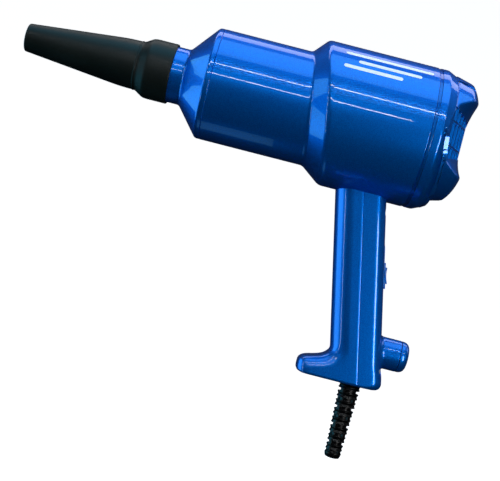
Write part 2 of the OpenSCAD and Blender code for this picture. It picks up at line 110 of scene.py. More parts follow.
studio = {
    "cameraPlace": (-0.1023, -0.9, 0.0092),
    "cameraRoll": math.radians(14.4),
    "lens": 71.8,
    "sensor": 36,
    "nearest": 0.05,
    "floorHeight": -0.42,
    "wallDistance": 6.0,
    "coveRadius": 2.5,
    "coveSteps": 12,
    "wallTop": 5.0,
    "paper": (0.93, 0.935, 0.94, 1),
    "paperGlow": (0.95, 0.96, 0.97, 1),
    "glowStrength": 0.98,
    "backdrop": (0.94, 0.945, 0.95),
    "airLow": (0.004, 0.005, 0.008, 1),
    "airHigh": (0.06, 0.07, 0.09, 1),
}


def makeCamera():
    data = bpy.data.cameras.new("camera")
    camera = bpy.data.objects.new("camera", data)
    scene.collection.objects.link(camera)
    data.lens = studio["lens"]
    data.sensor_width = studio["sensor"]
    data.clip_start = studio["nearest"]
    turn = Matrix.Rotation(math.radians(90), 4, "X") @ Matrix.Rotation(studio["cameraRoll"], 4, "Z")
    camera.matrix_world = Matrix.Translation(studio["cameraPlace"]) @ turn
    scene.camera = camera


def principled(name):
    material = bpy.data.materials.new(name)
    material.use_nodes = True
    return material, material.node_tree, material.node_tree.nodes["Principled BSDF"]


def spinUpright(bm, points, steps, closed=False):
    # turns a profile of (radius, height), in metres, about the Z line
    verts = [bm.verts.new((r, 0, z)) for r, z in points]
    pairs = list(zip(verts, verts[1:]))
    if closed:
        pairs.append((verts[-1], verts[0]))
    edges = [bm.edges.new(pair) for pair in pairs]
    bmesh.ops.spin(bm, geom=verts + edges, cent=(0, 0, 0), axis=(0, 0, 1), angle=2 * math.pi,
                   steps=steps, use_merge=True)
    bmesh.ops.remove_doubles(bm, verts=bm.verts, dist=1e-7)


def makeStage():
    # a round floor that curves up into a wall all the way round
    bm = bmesh.new()
    floor, wall, radius = studio["floorHeight"], studio["wallDistance"], studio["coveRadius"]
    path = [(0, floor), (wall - radius, floor)]
    for i in range(1, studio["coveSteps"] + 1):
        a = math.radians(90 * i / studio["coveSteps"])
        path.append((wall - radius + radius * math.sin(a), floor + radius - radius * math.cos(a)))
    path.append((wall, studio["wallTop"]))
    spinUpright(bm, path, 96)
    bmesh.ops.recalc_face_normals(bm, faces=bm.faces)
    mesh = bpy.data.meshes.new("stage")
    bm.to_mesh(mesh)
    bm.free()
    for polygon in mesh.polygons:
        polygon.use_smooth = True
    stage = bpy.data.objects.new("stage", mesh)
    scene.collection.objects.link(stage)
    material, _, shader = principled("palePaper")
    setInputs(shader, Base_Color=studio["paper"], Roughness=0.9, Specular_IOR_Level=0.1,
              Emission_Color=studio["paperGlow"], Emission_Strength=studio["glowStrength"])
    mesh.materials.append(material)
    # the lacquer mirrors the dark room rather than the paper
    stage.visible_glossy = False
    stage.visible_diffuse = False


def makeWorld():
    # the camera sees a pale backdrop, while the tool is lit by a nearly dark room
    world = bpy.data.worlds.new("studioAir")
    scene.world = world
    world.use_nodes = True
    tree = world.node_tree
    links = tree.links
    place = addNode(tree, "TexCoord")
    split = addNode(tree, "SeparateXYZ")
    half = addNode(tree, "Math", "MULTIPLY_ADD")
    half.inputs[1].default_value = 0.5
    half.inputs[2].default_value = 0.5
    ramp = addNode(tree, "ValToRGB")
    stops = ((0.35, studio["airLow"]), (0.95, studio["airHigh"]))
    for stop, (position, colour) in zip(ramp.color_ramp.elements, stops):
        stop.position = position
        stop.color = colour
    light = addNode(tree, "LightPath")
    links.new(place.outputs["Generated"], split.inputs[0])
    links.new(split.outputs["Z"], half.inputs[0])
    links.new(half.outputs[0], ramp.inputs[0])
    seen = mixColour(tree, light.outputs["Is Camera Ray"], ramp.outputs[0], studio["backdrop"])
    links.new(seen, tree.nodes["Background"].inputs["Color"])
    tree.nodes["Background"].inputs["Strength"].default_value = 1.0


# name: (place, aimed at, width, height, power, colour)
lamps = {
    "topBox": ((-0.10, -0.30, 1.35), (-0.10, -0.05, 0.137), 1.9, 0.95, 9, (0.2, 0.7, 1)),
    "frontStripHigh": ((-0.10, -1.25, 1.02), (-0.10, 0, 0.137), 2.6, 0.03, 4.2, (1, 1, 1)),
    "frontStripLow": ((-0.34, -1.45, 0.50), (-0.34, 0, 0.137), 1.05, 0.026, 1.5, (1, 1, 1)),
    "frontFill": ((-0.10, -1.7, 1.3), (-0.10, 0, 0.10), 2.4, 0.6, 1.1, (0.6, 0.88, 1)),
    "rightBox": ((0.62, -1.10, -0.09), (0.02, 0, -0.06), 0.24, 0.62, 4.0, (1, 1, 1)),
    "leftStrip": ((-1.35, -0.65, -0.05), (-0.02, 0, 0.0), 0.05, 1.5, 1.6, (1, 1, 1)),
    "leftBox": ((-1.5, 0.24, 0.0), (-0.05, 0, 0.08), 1.1, 1.6, 10.5, (0.15, 0.72, 1)),
    "backWash": ((-0.1, 0.75, 1.5), (-0.1, 1.5, 0.0), 2.6, 0.8, 12, (1, 1, 1)),
    "rearBox": ((1.3, 0.25, 0.9), (0.05, 0, 0.137), 0.7, 0.7, 1.5, (1, 1, 1)),
    "underGlow": ((-0.17, 0.07, -0.39), (-0.17, 0.03, 0.137), 0.13, 0.20, 0.03, (0.25, 0.8, 1)),
}


def makeLamps():
    for name, (place, target, width, height, power, colour) in lamps.items():
        data = bpy.data.lights.new(name, "AREA")
        data.shape = "RECTANGLE"
        data.size = width
        data.size_y = height
        data.energy = power
        data.color = colour
        lamp = bpy.data.objects.new(name, data)
        scene.collection.objects.link(lamp)
        aim = Vector(target) - Vector(place)
        lamp.matrix_world = Matrix.Translation(place) @ aim.to_track_quat("-Z", "Y").to_matrix().to_4x4()
        lamp.visible_camera = False


makeCamera()
makeStage()
makeWorld()
makeLamps()
scene.view_settings.view_transform = "Standard"
print("studio ready")


# Shader groups shared by the finishes

def newGroup(name, inputs, outputs):
    group = bpy.data.node_groups.new(name, "ShaderNodeTree")
    for label, value in inputs.items():
        socket = group.interface.new_socket(label, in_out="INPUT", socket_type="NodeSocketFloat")
        socket.default_value = value
    for label in outputs:
        group.interface.new_socket(label, in_out="OUTPUT", socket_type="NodeSocketFloat")
    return group, group.nodes.new("NodeGroupInput"), group.nodes.new("NodeGroupOutput")


def makeGrainGroup():
    # fine moulded grain as a height, and slow cloudy variation as a mask
    group, taken, given = newGroup("mouldGrain", {"Scale": 900.0, "Cloud Scale": 14.0}, ["Height", "Cloud"])
    links = group.links
    place = addNode(group, "TexCoord")
    fine = addNode(group, "TexNoise", Detail=3)
    cloud = addNode(group, "TexNoise", Detail=4)
    for texture, label in ((fine, "Scale"), (cloud, "Cloud Scale")):
        links.new(place.outputs["Object"], texture.inputs["Vector"])
        links.new(taken.outputs[label], texture.inputs["Scale"])
    links.new(fine.outputs["Fac"], given.inputs["Height"])
    links.new(cloud.outputs["Fac"], given.inputs["Cloud"])
    return group


def makeEdgeGroup():
    # where two faces meet, broken up by noise
    group, taken, given = newGroup("edgeMask", {"Radius": 0.0008, "Amount": 1.0}, ["Mask"])
    links = group.links
    soft = addNode(group, "Bevel")
    soft.samples = 4
    plain = addNode(group, "NewGeometry")
    compare = addNode(group, "VectorMath", "DOT_PRODUCT")
    place = addNode(group, "TexCoord")
    noise = addNode(group, "TexNoise", Scale=260)
    links.new(taken.outputs["Radius"], soft.inputs["Radius"])
    links.new(soft.outputs["Normal"], compare.inputs[0])
    links.new(plain.outputs["Normal"], compare.inputs[1])
    links.new(place.outputs["Object"], noise.inputs["Vector"])
    spread = mapValue(group, compare.outputs["Value"], 0.0, 1.0, 0.995, 0.86)
    broken = multiply(group, spread, noise.outputs["Fac"])
    links.new(multiply(group, broken, taken.outputs["Amount"], clamp=True), given.inputs["Mask"])
    return group


def makeFlakeGroup():
    # metal flakes suspended in a lacquer: each cell gets its own brightness
    group, taken, given = newGroup("metalFlake", {"Scale": 2600.0}, ["Value"])
    links = group.links
    place = addNode(group, "TexCoord")
    cells = addNode(group, "TexVoronoi")
    split = addNode(group, "SeparateColor")
    links.new(place.outputs["Object"], cells.inputs["Vector"])
    links.new(taken.outputs["Scale"], cells.inputs["Scale"])
    links.new(cells.outputs["Color"], split.inputs[0])
    links.new(split.outputs["Red"], given.inputs["Value"])
    return group


grainGroup = makeGrainGroup()
edgeGroup = makeEdgeGroup()
flakeGroup = makeFlakeGroup()


def addGroup(tree, group, **values):
    node = addNode(tree, "Group")
    node.node_tree = group
    setInputs(node, **values)
    return node


# Finishes

def makeLacquer(name, deep, bright, roughness=0.33):
    # flakes in a blue base under a clear, hard coat
    material, tree, shader = principled(name)
    links = tree.links
    grain = addGroup(tree, grainGroup, Scale=330.0, Cloud_Scale=9.0)
    flake = addGroup(tree, flakeGroup, Scale=2600.0)
    edge = addGroup(tree, edgeGroup, Radius=0.0007, Amount=0.5)
    body = mixColour(tree, flake.outputs["Value"], deep, bright)
    clouded = mixColour(tree, mapValue(tree, grain.outputs["Cloud"], 0.0, 0.22, 0.35, 0.7), body, deep)
    # the colour is made lighter along the edges, where the edge mask is high
    lighterAtEdges = mixColour(tree, edge.outputs["Mask"], clouded, (0.06, 0.40, 1.0))
    links.new(lighterAtEdges, shader.inputs["Base Color"])
    links.new(mapValue(tree, grain.outputs["Cloud"], roughness - 0.04, roughness + 0.06),
              shader.inputs["Roughness"])
    setInputs(shader, Metallic=0.68, Specular_IOR_Level=0.08, Specular_Tint=(0.02, 0.35, 1.0, 1),
              Coat_Weight=1.0, Coat_Roughness=0.02, Coat_IOR=1.58)
    bumpFrom(tree, shader, grain.outputs["Height"], 0.05, 0.0004)
    return material


def makeRubber(name, deep, pale, roughness, grainScale, strength):
    material, tree, shader = principled(name)
    links = tree.links
    grain = addGroup(tree, grainGroup, Scale=grainScale, Cloud_Scale=18.0)
    edge = addGroup(tree, edgeGroup, Radius=0.0012, Amount=0.7)
    body = mixColour(tree, mapValue(tree, grain.outputs["Cloud"], 0.0, 1.0, 0.3, 0.75), deep, pale)
    # the colour is made lighter along the edges, where the edge mask is high
    paleAtEdges = mixColour(tree, edge.outputs["Mask"], body, tuple(min(1, c * 2.4 + 0.01) for c in pale))
    links.new(paleAtEdges, shader.inputs["Base Color"])
    links.new(mapValue(tree, grain.outputs["Cloud"], roughness - 0.07, roughness + 0.08, 0.3, 0.75),
              shader.inputs["Roughness"])
    setInputs(shader, Specular_IOR_Level=0.36)
    bumpFrom(tree, shader, grain.outputs["Height"], strength, 0.0004)
    return material


def makePlastic(name, colour, roughness, grainScale=1100.0, strength=0.18):
    material, tree, shader = principled(name)
    links = tree.links
    grain = addGroup(tree, grainGroup, Scale=grainScale, Cloud_Scale=25.0)
    edge = addGroup(tree, edgeGroup, Radius=0.0005, Amount=0.6)
    pale = tuple(min(1.0, c * 1.35 + 0.004) for c in colour)
    body = mixColour(tree, mapValue(tree, grain.outputs["Cloud"], 0.0, 1.0, 0.3, 0.7), colour, pale)
    # the colour is made lighter along the edges, where the edge mask is high
    lighterAtEdges = mixColour(tree, edge.outputs["Mask"], body, tuple(min(1.0, c * 2 + 0.02) for c in colour))
    links.new(lighterAtEdges, shader.inputs["Base Color"])
    links.new(mapValue(tree, grain.outputs["Cloud"], roughness - 0.05, roughness + 0.06),
              shader.inputs["Roughness"])
    bumpFrom(tree, shader, grain.outputs["Height"], strength, 0.0002)
    return material


def makeMetal(name, colour, roughness, stretch=(1, 1, 1)):
    material, tree, shader = principled(name)
    links = tree.links
    place = addNode(tree, "TexCoord")
    turn = addNode(tree, "Mapping", Scale=stretch)
    brush = addNode(tree, "TexNoise", Scale=420, Detail=5)
    grain = addGroup(tree, grainGroup, Scale=700.0, Cloud_Scale=30.0)
    edge = addGroup(tree, edgeGroup, Radius=0.0004, Amount=0.8)
    links.new(place.outputs["Object"], turn.inputs["Vector"])
    links.new(turn.outputs["Vector"], brush.inputs["Vector"])
    dark = tuple(c * 0.72 for c in colour)
    body = mixColour(tree, mapValue(tree, grain.outputs["Cloud"], 0.0, 1.0, 0.35, 0.7), dark, colour)
    # the colour is made lighter along the edges, where the edge mask is high
    lighterAtEdges = mixColour(tree, edge.outputs["Mask"], body, tuple(min(1.0, c * 1.3) for c in colour))
    links.new(lighterAtEdges, shader.inputs["Base Color"])
    links.new(mapValue(tree, brush.outputs["Fac"], roughness - 0.08, roughness + 0.1, 0.3, 0.7),
              shader.inputs["Roughness"])
    setInputs(shader, Metallic=1.0)
    bumpFrom(tree, shader, brush.outputs["Fac"], 0.08, 0.0002)
    return material


def makeFoam(name, deep, pale):
    material, tree, shader = principled(name)
    links = tree.links
    place = addNode(tree, "TexCoord")
    cells = addNode(tree, "TexVoronoi", Scale=620)
    cells.feature = "DISTANCE_TO_EDGE"
    links.new(place.outputs["Object"], cells.inputs["Vector"])
    # the pale strands are the foam's own colour; the pores between them are painted dark, a painted shade in
    # the holes
    strands = mapValue(tree, cells.outputs["Distance"], 1.0, 0.0, 0.02, 0.25)
    links.new(mixColour(tree, strands, deep, pale), shader.inputs["Base Color"])
    setInputs(shader, Roughness=0.9)
    bumpFrom(tree, shader, strands, 0.9, 0.0012)
    return material


finishes = {
    "blue_gloss": makeLacquer("blueLacquer", (0.0, 0.135, 0.72), (0.0, 0.26, 1.0)),
    "blue_satin": makeLacquer("blueSatin", (0.0, 0.08, 0.42), (0.0, 0.18, 0.75), 0.34),
    "nozzle_rubber": makeRubber("nozzleRubber", (0.003, 0.007, 0.0062), (0.006, 0.012, 0.0108),
                                0.46, 700.0, 0.2),
    "boot_rubber": makeRubber("bootRubber", (0.0008, 0.0008, 0.001), (0.002, 0.002, 0.0023),
                              0.34, 600.0, 0.2),
    "seal_rubber": makeRubber("sealRubber", (0.010, 0.010, 0.011), (0.02, 0.02, 0.021),
                              0.55, 900.0, 0.3),
    "black_plastic": makePlastic("switchPlastic", (0.012, 0.012, 0.013), 0.3),
    "white_plastic": makePlastic("nylonWhite", (0.72, 0.71, 0.66), 0.42),
    "board_green": makePlastic("solderMask", (0.015, 0.12, 0.05), 0.3),
    "capacitor_film": makePlastic("filmYellow", (0.6, 0.36, 0.05), 0.34),
    "filter_foam": makeFoam("openFoam", (0.006, 0.006, 0.007), (0.06, 0.06, 0.064)),
    "lead_sleeve": makePlastic("leadSleeve", (0.015, 0.015, 0.016), 0.4),
    "zinc_steel": makeMetal("zincPlate", (0.62, 0.64, 0.66), 0.3),
    "bright_steel": makeMetal("groundSteel", (0.66, 0.67, 0.68), 0.22, (0.1, 1, 1)),
    "pressed_steel": makeMetal("pressedSteel", (0.5, 0.51, 0.53), 0.36),
    "fan_aluminium": makeMetal("fanAluminium", (0.72, 0.73, 0.75), 0.33),
    "lamination_steel": makeMetal("laminations", (0.16, 0.16, 0.17), 0.45, (9, 1, 1)),
    "copper": makeMetal("enamelledCopper", (0.62, 0.25, 0.10), 0.34, (1, 6, 6)),
    "brass": makeMetal("stampedBrass", (0.70, 0.53, 0.22), 0.3),
    "carbon": makePlastic("graphite", (0.025, 0.025, 0.027), 0.5),
}


def makeGlowingMarkWhite():
    # a printed white that also glows a little: a painted brightness beyond the light that falls on it
    material = makePlastic("glowingMarkWhite", (0.95, 0.96, 0.97), 0.3, 700.0, 0.05)
    setInputs(material.node_tree.nodes["Principled BSDF"], Emission_Color=(0.9, 0.94, 1.0, 1),
              Emission_Strength=0.25)
    return material


glowingMarkWhite = makeGlowingMarkWhite()
print("finishes ready:", len(finishes))


# Mesh helpers

def roundOff(points, steps=5):
    # points are (x, r) or (x, r, length to cut off the corner); corners become curves
    count = len(points)
    out = []
    for i, point in enumerate(points):
        here = Vector(point[:2])
        if len(point) < 3:
            out.append(tuple(here))
            continue
        before = Vector(points[i - 1][:2])
        after = Vector(points[(i + 1) % count][:2])
        start = here + (before - here).normalized() * point[2]
        end = here + (after - here).normalized() * point[2]
        for k in range(steps + 1):
            t = k / steps
            out.append(tuple(start * (1 - t) ** 2 + here * 2 * t * (1 - t) + end * t ** 2))
    return out


def spinProfile(points, steps, height=None, closed=True):
    # points are (x, r) in millimetres, turned about the X line at the given height
    height = tool["axisHeight"] if height is None else height
    bm = bmesh.new()
    verts = [bm.verts.new((x * mm, 0, height + r * mm)) for x, r in points]
    pairs = list(zip(verts, verts[1:]))
    if closed:
        pairs.append((verts[-1], verts[0]))
    edges = [bm.edges.new(pair) for pair in pairs]
    bmesh.ops.spin(bm, geom=verts + edges, cent=(0, 0, height), axis=(1, 0, 0),
                   angle=2 * math.pi, steps=steps, use_merge=True)
    bmesh.ops.remove_doubles(bm, verts=bm.verts, dist=1e-6)
    return bm


def vertsIn(geom):
    return [item for item in geom if isinstance(item, bmesh.types.BMVert)]


def edgesAt(verts):
    return list({edge for vertex in verts for edge in vertex.link_edges})


def bevelEdges(bm, edges, offset, segments, clamp=False):
    bmesh.ops.bevel(bm, geom=edges, offset=offset, segments=segments, affect="EDGES",
                    profile=0.5, material=-1, clamp_overlap=clamp)


def pourInto(bm, other):
    # adds one bmesh to another and frees it
    holder = bpy.data.meshes.new("holder")
    other.to_mesh(holder)
    other.free()
    bm.from_mesh(holder)
    bpy.data.meshes.remove(holder)


def finishMesh(bm, recalc=True):
    bmesh.ops.dissolve_degenerate(bm, edges=bm.edges, dist=1e-7)
    if recalc:
        bmesh.ops.recalc_face_normals(bm, faces=bm.faces)


def newObject(name, bm, recalc=True):
    finishMesh(bm, recalc)
    mesh = bpy.data.meshes.new(name)
    bm.to_mesh(mesh)
    bm.free()
    made = bpy.data.objects.new(name, mesh)
    scene.collection.objects.link(made)
    return made


def applyModifiers(made):
    view = bpy.context.view_layer
    view.update()
    baked = bpy.data.meshes.new_from_object(made.evaluated_get(bpy.context.evaluated_depsgraph_get()))
    old = made.data
    made.modifiers.clear()
    made.data = baked
    bpy.data.meshes.remove(old)


def thicken(made, thickness):
    wall = made.modifiers.new("wall", "SOLIDIFY")
    wall.thickness = thickness
    wall.offset = -1


def soften(made, width, segments=2, angle=40):
    # rounds the crisp edges of a finished block
    edge = made.modifiers.new("edge", "BEVEL")
    edge.width = width
    edge.segments = segments
    edge.limit_method = "ANGLE"
    edge.angle_limit = math.radians(angle)
    applyModifiers(made)


def cutWith(made, cutter, tangled=False):
    # tangled is for pieces whose own parts cross each other
    cut = made.modifiers.new("cut", "BOOLEAN")
    cut.object = cutter
    cut.operation = "DIFFERENCE"
    cut.solver = "EXACT"
    cut.use_self = tangled
    applyModifiers(made)
    bpy.data.objects.remove(cutter)


def dress(made, slot, body, nodes, material=None, sharp=32):
    # material, soft shading with crisp corners, and the piece's place in the frame
    mesh = made.data
    mesh.materials.clear()
    mesh.materials.append(material or finishes[slot])
    for polygon in mesh.polygons:
        polygon.use_smooth = True
    mesh.set_sharp_from_angle(angle=math.radians(sharp))
    weigh = made.modifiers.new("evenShading", "WEIGHTED_NORMAL")
    weigh.keep_sharp = True
    weigh.weight = 60
    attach(made, body)
    if nodes:
        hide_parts(*nodes)
    return made


def smoothStep(t):
    t = min(1.0, max(0.0, t))
    return t * t * (3 - 2 * t)


def softMin(a, b, width):
    h = max(width - abs(a - b), 0.0) / width
    return min(a, b) - h * h * width / 4


def softMax(a, b, width):
    return -softMin(-a, -b, width)


def cylinderAlong(bm, start, direction, length, radius, segments=32):
    # a plain bar for cutters and screw parts, from start along direction, in metres
    turn = Vector(direction).to_track_quat("Z", "Y").to_matrix().to_4x4()
    place = Matrix.Translation(Vector(start) + Vector(direction).normalized() * length / 2) @ turn
    return bmesh.ops.create_cone(bm, cap_ends=True, segments=segments, radius1=radius,
                                 radius2=radius, depth=length, matrix=place)["verts"]


def boxAt(bm, low, high, turn=None):
    # a block between two corners, in metres, optionally turned about the origin
    low, high = Vector(low), Vector(high)
    size = high - low
    place = Matrix.Translation((low + high) / 2) @ Matrix.Diagonal((*size, 1))
    return bmesh.ops.create_cube(bm, size=1, matrix=(turn @ place) if turn else place)["verts"]


handleTurn = Matrix.Rotation(-tool["rake"], 4, "Y")
handleBack = handleTurn.to_3x3() @ Vector((1, 0, 0))


# Nozzle: one rubber moulding with a sleeve, a flare and a parting bead

nozzle = {
    "tip": -342, "tipRadius": 12.6, "mouth": 10.4, "neck": -251.4, "neckRadius": 21.85,
    "beadSeat": 22.0, "beadRadius": 22.45, "flareStart": -238, "flareEnd": -228,
    "sleeveRadius": 27.2, "sleeveEnd": -206.8, "sleeveBore": 25.45, "stop": -229,
    "stopRadius": 21.6, "bore": 19.5,
}


def makeNozzle():
    n = nozzle
    bead = n["flareStart"] - 1.2
    seat, crest = n["beadSeat"], n["beadRadius"]
    profile = roundOff([
        (n["tip"], n["mouth"], 0.5), (n["tip"], n["tipRadius"], 1.3),
        (n["neck"], n["neckRadius"], 8), (bead - 1.0, seat), (bead - 0.7, seat, 0.2),
        (bead - 0.2, crest, 0.25), (bead + 0.5, crest, 0.25), (bead + 1.0, seat + 0.05, 0.3),
        (n["flareStart"] + 1.2, seat + 0.3, 1.5), (n["flareEnd"] - 1.5, n["sleeveRadius"] - 0.4, 1.8),
        (n["flareEnd"] + 2.5, n["sleeveRadius"], 1.5), (n["sleeveEnd"], n["sleeveRadius"], 1.3),
        (n["sleeveEnd"], n["sleeveBore"], 0.5), (n["stop"], n["sleeveBore"]),
        (n["stop"], n["stopRadius"]), (n["flareStart"], n["bore"], 1), (n["neck"], n["bore"], 5),
        (n["tip"] + 14, n["mouth"], 6),
    ])
    made = newObject("nozzle", spinProfile(profile, 144))
    dress(made, "nozzle_rubber", "nozzle", ["nozzle"])


# Front cone, barrel and housing

barrel = {
    "radius": 50.5, "front": -169.6, "housingRadius": 64.0, "housingRear": 22.0,
    "shoulderFoot": -81.7, "shoulderFootTilt": -8.1, "shoulderTop": -66.45, "shoulderTopTilt": -11.25,
}
cone = {
    "tip": -228.5, "spigotRadius": 25.3, "spigotBore": 22.7, "foot": -195.3, "head": -174.2,
    "headRadius": 50.4, "lipRadius": 47.8, "lipBore": 45.4, "lipEnd": -163,
}
seal = {"front": 22.05, "rear": 24.95, "radius": 63.5, "bore": 61.3}


def makeFrontCone():
    c = cone
    front = barrel["front"]
    profile = roundOff([
        (c["tip"], c["spigotBore"], 0.4), (c["tip"], c["spigotRadius"], 0.7), (-207.2, c["spigotRadius"]),
        (c["foot"], c["spigotRadius"], 2.2), (c["head"], c["headRadius"], 1.8),
        (front - 0.4, c["headRadius"], 0.3), (front, 49.8), (front, c["lipRadius"]),
        (c["lipEnd"], c["lipRadius"]), (c["lipEnd"], c["lipBore"]), (-175, c["lipBore"], 2),
        (-194.1, c["spigotBore"], 2),
    ])
    made = newObject("frontCone", spinProfile(profile, 192))
    dress(made, "blue_gloss", "housing", ["front_cone"])


def slantShoulder(bm):
    # moves the rings about the shoulder so that it leans with the height over the axis
    b = barrel
    low, high = b["shoulderFoot"] * mm, b["shoulderTop"] * mm
    front, rear = b["front"] * mm, b["housingRear"] * mm
    for vertex in bm.verts:
        reach = math.hypot(vertex.co.y, vertex.co.z - tool["axisHeight"])
        lean = (vertex.co.z - tool["axisHeight"]) / reach
        atFoot, atTop = b["shoulderFootTilt"] * mm * lean, b["shoulderTopTilt"] * mm * lean
        x = vertex.co.x
        if x <= low:
            vertex.co.x += atFoot * smoothStep((x - front) / (low - front) * 1.4 - 0.4)
        elif x < high:
            vertex.co.x += atFoot + (atTop - atFoot) * (x - low) / (high - low)
        else:
            vertex.co.x += atTop * smoothStep(1.4 - (x - high) / (rear - high) * 1.6)


def makeBarrelHousing():
    b = barrel
    foot, top, rear = b["shoulderFoot"], b["shoulderTop"], b["housingRear"]
    outer, outerTop = b["radius"], b["housingRadius"]
    inner, innerTop = outer - tool["wall"] / mm, outerTop - tool["wall"] / mm
    profile = roundOff([
        (b["front"], outer, 0.5), (-130, outer), (-104, outer), (foot, outer, 2.4),
        (top, outerTop, 3.2), (-36, outerTop), (-6, outerTop), (rear, outerTop, 0.7),
        (rear, innerTop), (top + 3.2, innerTop, 2), (foot + 2.4, inner, 2), (b["front"], inner),
    ])
    bm = spinProfile(profile, 224)
    slantShoulder(bm)
    made = newObject("barrelHousing", bm)
    dress(made, "blue_gloss", "housing", ["barrel_housing"])


def makeRearSeal():
    s = seal
    profile = roundOff([(s["front"], s["bore"]), (s["front"], s["radius"], 0.5),
                        (s["rear"], s["radius"], 0.5), (s["rear"], s["bore"])])
    made = newObject("rearSeal", spinProfile(profile, 160))
    dress(made, "blue_satin", "housing", ["rear_seal"])


makeNozzle()
makeFrontCone()
makeBarrelHousing()
makeRearSeal()
print("air path made")


# Rear cover: a banded rim, a dome set a little high, and a hollow with a grille across its back

cover = {
    "rise": 3.5, "lobeCentre": (34.1, 33.0), "lobeRadius": 29.7, "lobeFrom": 47, "hollowHalf": 33.0,
    "flankFrom": (40.7, 57.4), "flankTo": (55.4, 53.7), "bowCentre": -27, "bowRadius": 87.0,
    "cheekFloor": 37.5, "cheekEdge": 60, "slotHalf": 14, "slotRise": 8, "slotRun": 51.6,
    "slatPitch": 8.6, "slatWidth": 1.6, "ribHeight": 10.4, "lastColumn": 6,
    "screwRing": 57.2, "screwSeat": 36.5, "screwAngles": (30, 150, 210, 330),
}


def slotReach(y):
    # half height of the grille at a distance from the mid-plane, in millimetres
    return cover["slotHalf"] + cover["slotRise"] * abs(y) / cover["slotRun"]


def hollowFloor(y):
    bow = cover["bowCentre"] + math.sqrt(max(cover["bowRadius"] ** 2 - y * y, 1))
    cheek = cover["cheekFloor"] + (cover["cheekEdge"] - abs(y)) / 2
    return softMin(bow, cheek, 3)


def domeAt(radius):
    # station of the dome's skin at a radius about its own centre
    x0, r0 = cover["lobeCentre"]
    if radius <= r0:
        return x0 + cover["lobeRadius"]
    swing = (radius - r0) / cover["lobeRadius"]
    return x0 + cover["lobeRadius"] * math.sqrt(max(0.0, 1 - swing * swing))


def hollowAt(y, z):
    floor, reach = hollowFloor(y), slotReach(y)
    edge = domeAt(math.hypot(y, cover["hollowHalf"]))
    slope = max(edge - floor, 1.0) / (cover["hollowHalf"] - reach)
    return floor + softMax(0.0, (abs(z) - reach) * slope, 1.2)


def makeRearCover():
    x0, r0 = cover["lobeCentre"]
    arc = [(x0 + cover["lobeRadius"] * math.sin(math.radians(a)),
            r0 + cover["lobeRadius"] * math.cos(math.radians(a))) for a in range(cover["lobeFrom"], 91, 4)]
    (x1, r1), (x2, r2) = cover["flankFrom"], cover["flankTo"]
    flank = [(x1 + (x2 - x1) * i / 9, r1 + (r2 - r1) * i / 9) for i in range(9)]
    # the flat creeps back a hair at each step, so that no two rings share a station
    flat = [(x0 + cover["lobeRadius"] + i * 1e-4, r0 * (1 - i / 24)) for i in range(1, 24)]
    rim = roundOff([(25, 63.4), (25.05, 63.9), (31.2, 64, 1.2), (39.3, 60.3, 0.7), (40.1, 58.6, 0.6)])
    profile = rim + flank + arc + flat + [(x0 + cover["lobeRadius"], 0)]
    bm = spinProfile(profile, 320, closed=False)
    axis, rise = tool["axisHeight"], cover["rise"]
    for vertex in bm.verts:
        x = vertex.co.x / mm
        vertex.co.z += rise * mm * smoothStep((x - 39.2) / 1.6)
        if x < 35:
            continue
        y, z = vertex.co.y / mm, (vertex.co.z - axis) / mm - rise
        vertex.co.x = softMin(x, hollowAt(y, z), 1.1) * mm
    openWindow(bm)
    made = newObject("rearCover", bm)
    thicken(made, tool["wall"])
    applyModifiers(made)
    cutWith(made, coverScrewHoles(), tangled=True)
    addGrille(made)
    dress(made, "blue_gloss", "housing", ["rear_cover"], sharp=38)


def openWindow(bm):
    # scores the skin along the grille's outline, then takes out what lies inside it
    edge = ((cover["lastColumn"] + 0.5) * cover["slatPitch"] - cover["slatWidth"] / 2) * mm
    centre = tool["axisHeight"] + cover["rise"] * mm
    slope = (slotReach(edge / mm) - slotReach(0)) * mm / edge
    scores = [((0, 0, centre), (0, 1, 0)), ((0, edge, centre), (0, 1, 0)), ((0, -edge, centre), (0, 1, 0))]
    for side in (-1, 1):
        for lift in (-1, 1):
            point = (0, 0, centre + lift * slotReach(0) * mm)
            scores.append((point, (0, -side * lift * slope, 1)))
    for point, normal in scores:
        back = [f for f in bm.faces if f.calc_center_median().x > 0.036]
        geom = {e for f in back for e in f.edges} | {v for f in back for v in f.verts} | set(back)
        bmesh.ops.bisect_plane(bm, geom=list(geom), dist=1e-7, plane_co=point, plane_no=normal)
    inside = []
    for face in bm.faces:
        middle = face.calc_center_median()
        height = abs(middle.z - centre)
        if middle.x > 0.03 and abs(middle.y) < edge and height < slotReach(0) * mm + slope * abs(middle.y):
            inside.append(face)
    bmesh.ops.delete(bm, geom=inside, context="FACES")


def coverScrewPlaces():
    # the seats of the heads
    ring = cover["screwRing"] * mm
    for degrees in cover["screwAngles"]:
        a = math.radians(degrees)
        yield Vector((cover["screwSeat"] * mm, -ring * math.sin(a), tool["axisHeight"] + ring * math.cos(a)))


def coverScrewHoles():
    bm = bmesh.new()
    for place in coverScrewPlaces():
        cylinderAlong(bm, place, (1, 0, 0), 0.04, tool["screwWell"])
    return newObject("holes", bm)


